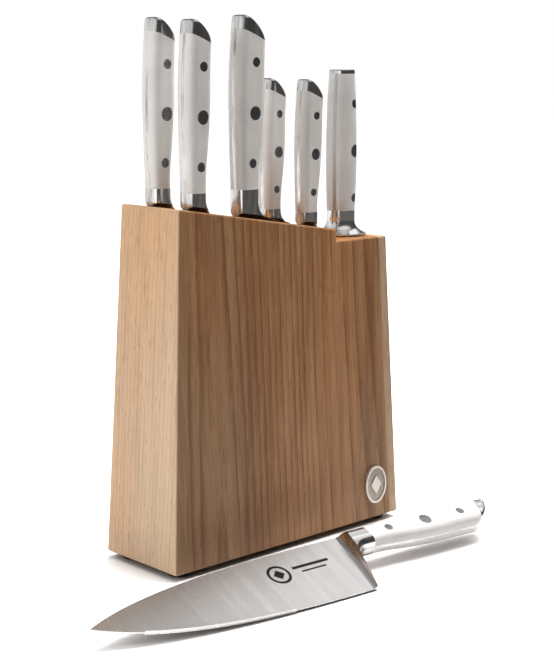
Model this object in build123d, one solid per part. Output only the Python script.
from build123d import *

import os
from dataclasses import dataclass
from math import atan, cos, degrees, radians, sin, tan

# A set of kitchen knives with its upright wooden block.
#
# The block is a slab that tapers towards its top. Its top slopes down from left to right and
# ends in a lower level ledge. It is glued up from two end boards and a core of four boards, and
# stands on four screwed rubber feet. Two rows of saw-cut slots hold six knives, and a bored hole
# under the ledge holds the honing steel. Five knives stand in their slots, the chef's knife lies
# on the counter in front, and its slot is empty.
#
# Every knife is forged in one piece, from the blade through the bolster to a full tang. Two
# handle scales are riveted to the tang and a steel cap closes the butt.
#
# Block frame: X along the wide face, Y from the front face to the back, Z up, zero at the
# bottom front left corner on the counter. Knife frame: X from the spine to the edge, Y through
# the blade's thickness, Z from the tip to the butt, zero where the bolster ends on the spine.
# Millimetres throughout.

# --- block ---------------------------------------------------------------------------------
BLOCK_WIDTH = 209.0
BLOCK_DEPTH = 72.0
TOP_HEIGHT = 235.7  # at the left end
STEP_X = 149.6
STEP_HEIGHT = 213.6  # where the sloping top ends
LEDGE_HEIGHT = 205.6
END_TAPER = 2.75  # degrees, both narrow faces
FACE_TAPER = 1.75  # degrees, both wide faces
EDGE_ROUND = 1.5
FOOT_HEIGHT = 4.0
END_BOARD = 8.5
FRONT_JOINT_Y = 24.0
REAR_JOINT_Y = 48.0
STAVE_JOINT_X = 130.0

SLOT_WIDTH = 5.0
SLOT_END_GAP = 2.0
SLOT_TIP_GAP = 6.0

FOOT_RADIUS = 6.5
FOOT_INSET = 12.0
SCREW_RADIUS = 1.75
SCREW_HEAD_RADIUS = 3.2
SCREW_HEAD_HEIGHT = 1.6
SCREW_SEAT = 2.0  # wall of rubber under the screw head
SCREW_DEPTH = 11.0  # in the wood

PLATE_X = 185.0
PLATE_Z = 28.5
PLATE_HALF_WIDTH = 10.5
PLATE_HALF_HEIGHT = 13.5
PLATE_THICKNESS = 1.2
PLATE_RIM = 1.5
PLATE_RELIEF = 0.7

# --- knives --------------------------------------------------------------------------------
BLADE_HALF = 1.3  # half the spine thickness
EDGE_HALF = 0.4
DISTAL_TAPER = 0.25  # lost from each side of the blade between heel and tip
SCOOP_RADIUS = 6.5  # hollow between the bolster and the blade
HEEL_HALF = 2.3
HEEL_LINE_ANGLE = 16.0
BOLSTER_GAP = 3.0  # from the wood up to the full thickness of the bolster
TANG_HALF = 1.25
CAP_SLOPE = 0.40  # of the joint between scales and cap, falling from spine to belly
BUTT_RADIUS = 28.0  # of the rounded butt, which runs out into the belly
BUTT_X = -5.4  # its middle lies just behind the spine
BUTT_RISE = 9.9  # and its top this far above the end of the scales
BUTT_EDGE = 2.0

# Handle sections: share of the scales' length, spine x, belly x, thickness, corner radius.
HANDLE_SECTIONS = [
    (0.00, 0.0, 16.8, 15.0, 5.0),
    (0.25, -1.0, 18.6, 15.8, 5.6),
    (0.50, -1.5, 21.0, 16.4, 6.0),
    (0.75, -0.8, 21.6, 16.6, 6.0),
    (0.95, 0.8, 22.6, 16.2, 5.6),
    (1.12, 3.0, 24.6, 15.8, 5.0),
]
# Rivets: share of the scales' length, x, radius.
RIVETS = [(0.165, 8.8, 3.1), (0.476, 10.6, 4.5), (0.79, 11.4, 3.1)]

# --- honing steel --------------------------------------------------------------------------
STEEL_X = 180.3
STEEL_Y = 32.6
STEEL_TURN = 18.0  # degrees about its own axis
ROD_RADIUS = 5.5
ROD_LENGTH = 182.0
BORE_RADIUS = 6.5
GUARD_RADIUS = 18.0
GUARD_LIP = 1.6
GUARD_FLARE = 11.0
GUARD_HEIGHT = 17.5
COLLAR_RADIUS = 9.9
BARREL_RADIUS = 10.8
BARREL_TOP_RADIUS = 8.9
BARREL_LENGTH = 94.5
STEEL_CAP = 2.8
STEEL_RIVETS = [(9.0, 3.1), (41.5, 4.5), (74.0, 3.1)]  # height above the guard, radius
RESTING_GAP = 0.2

# --- the knife on the counter --------------------------------------------------------------
CHEF_ROLL = 22.0  # degrees: it rests on its edge and on the belly of its handle
CHEF_YAW = -4.6
CHEF_TIP = (-106.0, -53.0)


@dataclass
class Knife:
    """One knife: where it stands, its blade and its handle."""

    name: str
    spine_x: float
    row: str
    blade: float  # from the bolster to the tip
    height: float
    collar: float  # from the bolster's front to the scales
    heel_drop: float  # how far the heel corner lies beyond the bolster's front
    tip_x: float
    spine_straight: float
    edge_handles: tuple  # the two control points of the edge curve
    wide: float  # scale of the handle from spine to belly
    thick: float  # and through its thickness
    scales: float  # length of the handle scales
    grind: str = "plain"


LARGE = {"wide": 1.0, "thick": 1.0, "scales": 102.7}
SLIM = {"wide": 0.83, "thick": 1.0, "scales": 99.0}
SMALL = {"wide": 0.8, "thick": 0.85, "scales": 81.7}
KNIVES = [
    Knife(
        name="bread_knife",
        spine_x=22.8,
        row="rear",
        blade=203,
        height=30,
        collar=8.5,
        heel_drop=9,
        tip_x=9,
        spine_straight=165,
        edge_handles=((30, -80), (29, -190)),
        grind="serrated",
        **SLIM,
    ),
    Knife(
        name="slicing_knife",
        spine_x=28.0,
        row="front",
        blade=203,
        height=29,
        collar=7.7,
        heel_drop=9,
        tip_x=12,
        spine_straight=130,
        edge_handles=((29, -90), (27, -170)),
        **SLIM,
    ),
    Knife(
        name="santoku_knife",
        spine_x=70.3,
        row="front",
        blade=178,
        height=46,
        collar=14.5,
        heel_drop=10.5,
        tip_x=38,
        spine_straight=110,
        edge_handles=((47, -70), (47, -150)),
        grind="dimpled",
        **LARGE,
    ),
    Knife(
        name="utility_knife",
        spine_x=122.0,
        row="rear",
        blade=140,
        height=24,
        collar=5,
        heel_drop=6,
        tip_x=8,
        spine_straight=90,
        edge_handles=((24, -60), (20, -115)),
        **SMALL,
    ),
    Knife(
        name="paring_knife",
        spine_x=128.6,
        row="front",
        blade=89,
        height=17.5,
        collar=5.5,
        heel_drop=6,
        tip_x=7,
        spine_straight=55,
        edge_handles=((17.5, -40), (15, -72)),
        **SMALL,
    ),
    Knife(
        name="chef_knife",
        spine_x=60.0,
        row="rear",
        blade=203,
        height=50,
        collar=14.5,
        heel_drop=10.5,
        tip_x=20,
        spine_straight=40,
        edge_handles=((50.5, -85), (46, -160)),
        **LARGE,
    ),
]
ROWS = {"front": FRONT_JOINT_Y - SLOT_WIDTH / 2, "rear": REAR_JOINT_Y + SLOT_WIDTH / 2}

# --- worked out from the above -------------------------------------------------------------
END_LEAN = tan(radians(END_TAPER))
FACE_LEAN = tan(radians(FACE_TAPER))
TOP_LEFT_X = (TOP_HEIGHT - FOOT_HEIGHT) * END_LEAN
TOP_FALL = (TOP_HEIGHT - STEP_HEIGHT) / (STEP_X - TOP_LEFT_X)
TOP_SLOPE = degrees(atan(TOP_FALL))
FAR = 400.0  # beyond every part


def side_face(*points):
    """A closed polygon in the XZ plane."""
    return Plane.XZ * make_face(Polyline(*points, close=True))


def slab_across(face, low, high):
    """An XZ face carried along Y from low to high."""
    return Pos(0, high, 0) * extrude(face, high - low)


def top_at(x):
    """Height of the sloping top."""
    return TOP_HEIGHT - (x - TOP_LEFT_X) * TOP_FALL


# --- block ---------------------------------------------------------------------------------
def block_blank():
    """The whole block as one piece of wood, tapered and with its edges eased."""
    right_x = BLOCK_WIDTH - (LEDGE_HEIGHT - FOOT_HEIGHT) * END_LEAN
    front = side_face(
        (0, FOOT_HEIGHT),
        (BLOCK_WIDTH, FOOT_HEIGHT),
        (right_x, LEDGE_HEIGHT),
        (STEP_X, LEDGE_HEIGHT),
        (STEP_X, STEP_HEIGHT),
        (TOP_LEFT_X, TOP_HEIGHT),
    )
    inset = (TOP_HEIGHT - FOOT_HEIGHT) * FACE_LEAN
    end = Plane.YZ * make_face(
        Polyline(
            (0, FOOT_HEIGHT),
            (BLOCK_DEPTH, FOOT_HEIGHT),
            (BLOCK_DEPTH - inset, TOP_HEIGHT),
            (inset, TOP_HEIGHT),
            close=True,
        )
    )
    blank = slab_across(front, 0, BLOCK_DEPTH) & extrude(end, BLOCK_WIDTH)
    inner_corner = Vector(STEP_X, BLOCK_DEPTH / 2, LEDGE_HEIGHT)
    eased = [e for e in blank.edges() if (e.center() - inner_corner).length > 1]
    return fillet(eased, EDGE_ROUND)


def knife_slot(knife):
    """The saw-cut slot that a knife's blade goes into."""
    low = top_at(knife.spine_x) - knife.blade - SLOT_TIP_GAP
    length = knife.height + 2 * SLOT_END_GAP
    return Pos(knife.spine_x - SLOT_END_GAP, ROWS[knife.row], low) * Box(
        length, SLOT_WIDTH, FAR, align=(Align.MIN, Align.CENTER, Align.MIN)
    )


def foot_places():
    near, far = FOOT_INSET, BLOCK_DEPTH - FOOT_INSET
    left, right = FOOT_INSET, BLOCK_WIDTH - FOOT_INSET
    return {
        "foot_front_left": (left, near),
        "foot_front_right": (right, near),
        "foot_rear_left": (left, far),
        "foot_rear_right": (right, far),
    }


def boards():
    """The six glued boards, cut from the blank, with slots, bore and screw holes."""
    wood = block_blank()
    for knife in KNIVES:
        wood -= knife_slot(knife)
    bore_floor = LEDGE_HEIGHT - ROD_LENGTH - SLOT_TIP_GAP
    wood -= Pos(STEEL_X, STEEL_Y, bore_floor) * upright(BORE_RADIUS, FAR)
    for x, y in foot_places().values():
        wood -= Pos(x, y, 0) * upright(SCREW_RADIUS, FOOT_HEIGHT + SCREW_DEPTH)

    lean = FAR * END_LEAN
    left_end = slab_across(
        side_face(
            (-FAR, FOOT_HEIGHT),
            (END_BOARD, FOOT_HEIGHT),
            (END_BOARD + lean, FOOT_HEIGHT + FAR),
            (-FAR, FOOT_HEIGHT + FAR),
        ),
        0,
        BLOCK_DEPTH,
    )
    right_end = Pos(BLOCK_WIDTH, 0, 0) * left_end.mirror(Plane.YZ)
    core = wood - left_end - right_end
    front = core & span(y=(-1, FRONT_JOINT_Y))
    return {
        "left_end_board": wood & left_end,
        "right_end_board": wood & right_end,
        "front_board": front & span(x=(0, STAVE_JOINT_X)),
        "front_stave": front & span(x=(STAVE_JOINT_X, BLOCK_WIDTH)),
        "middle_board": core & span(y=(FRONT_JOINT_Y, REAR_JOINT_Y)),
        "rear_board": core & span(y=(REAR_JOINT_Y, BLOCK_DEPTH + 1)),
    }


def span(x=(-FAR, FAR), y=(-FAR, FAR), z=(-FAR, FAR)):
    """A box between two limits on each axis."""
    size = Box(x[1] - x[0], y[1] - y[0], z[1] - z[0])
    return Pos((x[0] + x[1]) / 2, (y[0] + y[1]) / 2, (z[0] + z[1]) / 2) * size


def upright(radius, height):
    """A cylinder that stands on its base."""
    return Cylinder(radius, height, align=(Align.CENTER, Align.CENTER, Align.MIN))


def rubber_foot():
    body = upright(FOOT_RADIUS, FOOT_HEIGHT)
    body = chamfer(body.edges().group_by(Axis.Z)[0], 0.6)
    seat = FOOT_HEIGHT - SCREW_SEAT
    return body - upright(SCREW_HEAD_RADIUS + 0.2, seat) - upright(SCREW_RADIUS, FOOT_HEIGHT)


def foot_screw():
    """A pan-head wood screw, its head up inside the foot."""
    seat = FOOT_HEIGHT - SCREW_SEAT
    head = Pos(0, 0, seat - SCREW_HEAD_HEIGHT) * upright(SCREW_HEAD_RADIUS, SCREW_HEAD_HEIGHT)
    head = fillet(head.edges().group_by(Axis.Z)[0], 0.8)
    shank = Pos(0, 0, seat) * upright(SCREW_RADIUS, FOOT_HEIGHT + SCREW_DEPTH - seat)
    shank = chamfer(shank.edges().group_by(Axis.Z)[-1], 1.2)
    return head + shank


def maker_plate():
    """An oval metal plate with a raised rim and a raised lozenge, on the front face."""
    lean = radians(FACE_TAPER)
    spot = (PLATE_X, (PLATE_Z - FOOT_HEIGHT) * FACE_LEAN, PLATE_Z)
    face = Plane(origin=spot, x_dir=(1, 0, 0), z_dir=(0, -cos(lean), sin(lean)))
    inner = Ellipse(PLATE_HALF_WIDTH - PLATE_RIM, PLATE_HALF_HEIGHT - PLATE_RIM)
    lozenge = make_face(
        Polyline(
            (0, PLATE_HALF_HEIGHT / 2),
            (PLATE_HALF_WIDTH / 2, 0),
            (0, -PLATE_HALF_HEIGHT / 2),
            (-PLATE_HALF_WIDTH / 2, 0),
            close=True,
        )
    )
    outer = Ellipse(PLATE_HALF_WIDTH, PLATE_HALF_HEIGHT)
    plate = extrude(outer, PLATE_THICKNESS)
    raised = extrude(outer - inner, PLATE_THICKNESS + PLATE_RELIEF)
    raised += extrude(lozenge, PLATE_THICKNESS + PLATE_RELIEF)
    return face * (plate + raised)


# --- knives --------------------------------------------------------------------------------
def handle_body(knife):
    """The outside shape of the whole handle, scales and cap together."""
    sections = []
    for share, spine, belly, thick, corner in HANDLE_SECTIONS:
        outline = RectangleRounded((belly - spine) * knife.wide, thick * knife.thick, corner * knife.thick)
        middle = (spine + belly) / 2 * knife.wide
        sections.append(Pos(middle, 0, knife.collar + share * knife.scales) * outline)
    body = loft(sections)

    top = knife.collar + knife.scales
    radius = BUTT_RADIUS * knife.wide
    middle = top + BUTT_RISE * knife.thick - radius
    butt = Pos(BUTT_X * knife.wide, 0, middle) * Rot(90, 0, 0) * Cylinder(radius, 60)
    body -= span(z=(middle, FAR)) - butt
    return fillet(body.faces().filter_by(GeomType.CYLINDER)[0].edges(), BUTT_EDGE * knife.thick)


def cap_side(knife):
    """Everything on the butt's side of the joint between the scales and the cap."""
    top, reach = knife.collar + knife.scales, 40.0
    return slab_across(
        side_face(
            (-reach, top + reach * CAP_SLOPE),
            (2 * reach, top - 2 * reach * CAP_SLOPE),
            (2 * reach, FAR),
            (-reach, FAR),
        ),
        -reach,
        reach,
    )


def rivet_rods(knife):
    rods = []
    for share, x, radius in RIVETS:
        rod = Rot(90, 0, 0) * Cylinder(radius * knife.thick, 60)
        rods.append(Pos(x * knife.wide, 0, knife.collar + share * knife.scales) * rod)
    return rods


def back_of_bolster(knife):
    """The line from the heel corner up to the scales: a near level run, then a hollow curve."""
    belly = HANDLE_SECTIONS[0][2] * knife.wide
    rise = (knife.height - belly) * tan(radians(HEEL_LINE_ANGLE))
    turn = 90 - HEEL_LINE_ANGLE
    short_leg = min(knife.collar + knife.heel_drop - rise, (knife.height - belly))
    radius = 0.9 * short_leg / tan(radians(turn / 2))
    heel = (knife.height, -knife.heel_drop)
    corner = (belly, rise - knife.heel_drop)
    return FilletPolyline(heel, corner, (belly, knife.collar), radius=min(radius, 11))


def blade_outline(knife):
    """Side view of blade and bolster."""
    tip = (knife.tip_x, -knife.blade)
    turn = -knife.spine_straight
    run = knife.blade - knife.spine_straight
    back = back_of_bolster(knife)
    top = Polyline(back @ 1, (0, knife.collar), (0, turn))
    spine = Bezier((0, turn), (0, turn - 0.5 * run), (0.35 * knife.tip_x, turn - 0.82 * run), tip)
    edge = Bezier(tip, knife.edge_handles[1], knife.edge_handles[0], back @ 0)
    return Plane.XZ * make_face(back + top + spine + edge)


def bolster(knife):
    """The thick collar of the forging, thinning towards the heel."""
    back = back_of_bolster(knife)
    depth = -knife.heel_drop - 12
    sides = Polyline(back @ 1, (0, knife.collar), (0, depth), (knife.height, depth), back @ 0)
    half = HANDLE_SECTIONS[0][3] / 2 * knife.thick
    body = extrude(Plane.XZ * make_face(back + sides), half, both=True)
    round_over = []
    for edge in body.edges():
        middle = edge.center()
        on_side = abs(abs(middle.Y) - half) < 0.01
        level = abs((edge @ 0).Z - (edge @ 1).Z) < 0.01
        lower_front = abs(middle.X - knife.height) < 0.01
        if on_side and not level and not lower_front:
            round_over.append(edge)
    body = fillet(round_over, HANDLE_SECTIONS[0][4] * knife.thick)
    belly = HANDLE_SECTIONS[0][2] * knife.wide
    wedge = make_face(
        Polyline(
            (-5, -half),
            (belly, -half),
            (knife.height + 1, -HEEL_HALF),
            (knife.height + 1, HEEL_HALF),
            (belly, half),
            (-5, half),
            close=True,
        )
    )
    return body & extrude(wedge, FAR, both=True)


def scoop(knife):
    """Cuts one side of the blade, and the hollow that leads from it up to the bolster."""
    face, radius, far = BLADE_HALF, SCOOP_RADIUS, 40.0
    arc = RadiusArc((face, -radius), (face + radius, 0), radius)
    rest = Polyline(arc @ 1, (far, 0), (far, -FAR), (face, -FAR), arc @ 0)
    tool = extrude(Plane.YZ * make_face(arc + rest), 60, both=True)
    to_edge = degrees(atan((BLADE_HALF - EDGE_HALF) / knife.height))
    to_tip = degrees(atan(DISTAL_TAPER / knife.blade))
    grind = Pos(0, face, 0) * Rot(-to_tip, 0, 0) * Rot(0, 0, -to_edge) * Pos(0, -face, 0)
    return grind * Rot(0, TOP_SLOPE, 0) * tool


def serrations(knife):
    """Scallops along a bread knife's edge."""
    pitch, radius, bite = 6.5, 4.6, 1.0
    count = int((knife.blade - 50) / pitch)
    cutter = Rot(90, 0, 0) * Cylinder(radius, 20)
    x = knife.height + radius - bite
    return [Pos(x, 0, -knife.heel_drop - 10 - i * pitch) * cutter for i in range(count)]


def dimples(knife):
    """Hollow ovals ground into both sides of a santoku's blade, above its edge."""
    pitch, count, depth = 15.0, 9, 0.25
    oval = Plane.XZ * SlotOverall(17, 6)
    start = -knife.heel_drop - 18
    cuts = []
    for i in range(count):
        z = start - i * pitch
        half = BLADE_HALF - (BLADE_HALF - EDGE_HALF) * 0.66 + DISTAL_TAPER * z / knife.blade
        hollow = slab_across(oval, half - depth, half + 5)
        for cut in (hollow, hollow.mirror(Plane.XZ)):
            cuts.append(Pos(knife.height * 0.66 - 2 * (i / count) ** 2, 0, z) * cut)
    return cuts


def knife_parts(knife):
    """The five nodes of one knife, in its own frame."""
    body = handle_body(knife)
    beyond = cap_side(knife)
    grip = body - beyond
    rods = rivet_rods(knife)
    side = scoop(knife)

    forging = bolster(knife) + extrude(blade_outline(knife), BLADE_HALF + 0.1, both=True)
    forging = forging - side - side.mirror(Plane.XZ)
    if knife.grind == "serrated":
        forging -= serrations(knife)
    if knife.grind == "dimpled":
        forging -= dimples(knife)
    forging += grip & span(y=(-TANG_HALF, TANG_HALF))
    forging -= rods

    name = knife.name
    return {
        f"{name}_forging": forging,
        f"{name}_scale_left": grip & span(y=(TANG_HALF, FAR)) - rods,
        f"{name}_scale_right": grip & span(y=(-FAR, -TANG_HALF)) - rods,
        f"{name}_rivets": Compound([s for rod in rods for s in (rod & grip).solids()]),
        f"{name}_cap": body & beyond,
    }


def in_slot(knife):
    """Where a knife stands in the block."""
    return Pos(knife.spine_x, ROWS[knife.row], top_at(knife.spine_x) + BOLSTER_GAP)


def on_counter(knife, parts):
    """Where the chef's knife lies, resting on its edge and the side of its handle."""
    roll = radians(CHEF_ROLL)
    lying = Plane(origin=(0, 0, 0), x_dir=(0, -cos(roll), -sin(roll)), z_dir=(1, 0, 0)).location
    lying = Rot(0, 0, CHEF_YAW) * lying
    tip = (lying * Pos(knife.tip_x, 0, -knife.blade)).position
    lowest = min((lying * part).bounding_box().min.Z for part in parts.values())
    return Pos(CHEF_TIP[0] - tip.X, CHEF_TIP[1] - tip.Y, -lowest) * lying


# --- honing steel --------------------------------------------------------------------------
def steel_parts():
    """The honing steel, in its own frame: Z up along the rod, zero on the ledge."""
    foot = RESTING_GAP
    lip = foot + GUARD_LIP
    flare = Bezier(
        (GUARD_RADIUS, lip),
        (COLLAR_RADIUS + 3, lip + 2),
        (COLLAR_RADIUS, lip + 4),
        (COLLAR_RADIUS, GUARD_FLARE),
    )
    guard_line = flare + Polyline(
        flare @ 1,
        (COLLAR_RADIUS, GUARD_HEIGHT),
        (ROD_RADIUS, GUARD_HEIGHT),
        (ROD_RADIUS, foot),
        (GUARD_RADIUS - 0.6, foot),
        (GUARD_RADIUS, foot + 0.6),
        flare @ 0,
    )
    guard = revolve(Plane.XZ * make_face(guard_line), Axis.Z)

    top = GUARD_HEIGHT + BARREL_LENGTH
    swell = Spline(
        (COLLAR_RADIUS, GUARD_HEIGHT),
        (BARREL_RADIUS, GUARD_HEIGHT + 0.42 * BARREL_LENGTH),
        (BARREL_TOP_RADIUS, top),
    )
    core = Polyline(swell @ 1, (0, top), (0, GUARD_HEIGHT), swell @ 0)
    barrel = revolve(Plane.XZ * make_face(swell + core), Axis.Z)
    rods = []
    for height, radius in STEEL_RIVETS:
        rods.append(Pos(0, 0, GUARD_HEIGHT + height) * Rot(90, 0, 0) * Cylinder(radius, 60))

    rod_body = Pos(0, 0, -ROD_LENGTH) * upright(ROD_RADIUS, ROD_LENGTH + GUARD_HEIGHT)
    rod_body = fillet(rod_body.edges().group_by(Axis.Z)[0], 2.0)
    rod_body += barrel & span(y=(-TANG_HALF, TANG_HALF))
    cap = Pos(0, 0, top) * upright(BARREL_TOP_RADIUS, STEEL_CAP)
    cap = fillet(cap.edges().group_by(Axis.Z)[-1], 0.9)
    return {
        "honing_steel_rod": rod_body - rods,
        "honing_steel_guard": guard,
        "honing_steel_scale_left": barrel & span(y=(TANG_HALF, FAR)) - rods,
        "honing_steel_scale_right": barrel & span(y=(-FAR, -TANG_HALF)) - rods,
        "honing_steel_rivets": Compound([s for rod in rods for s in (rod & barrel).solids()]),
        "honing_steel_cap": cap,
    }


def whole_set():
    """Every node in the block's frame."""
    nodes = boards()
    for name, (x, y) in foot_places().items():
        nodes[name] = Pos(x, y, 0) * rubber_foot()
    screw = foot_screw().solid()
    nodes["foot_screws"] = Compound([Pos(x, y, 0) * screw for x, y in foot_places().values()])
    nodes["maker_plate"] = maker_plate()
    for knife in KNIVES:
        parts = knife_parts(knife)
        place = on_counter(knife, parts) if knife.name == "chef_knife" else in_slot(knife)
        nodes.update({name: place * part for name, part in parts.items()})
    stand = Pos(STEEL_X, STEEL_Y, LEDGE_HEIGHT) * Rot(0, 0, STEEL_TURN)
    nodes.update({name: stand * part for name, part in steel_parts().items()})
    return nodes


def main():
    nodes = whole_set()
    box = Compound([s for part in nodes.values() for s in part.solids()]).bounding_box()
    to_origin = Pos(-box.center().X, -box.center().Y, -box.min.Z)
    os.makedirs("parts", exist_ok=True)
    for name, part in nodes.items():
        export_step(to_origin * part, f"parts/{name}.step")
    print("block frame moved by", to_origin.position, "set size", box.size)


main()
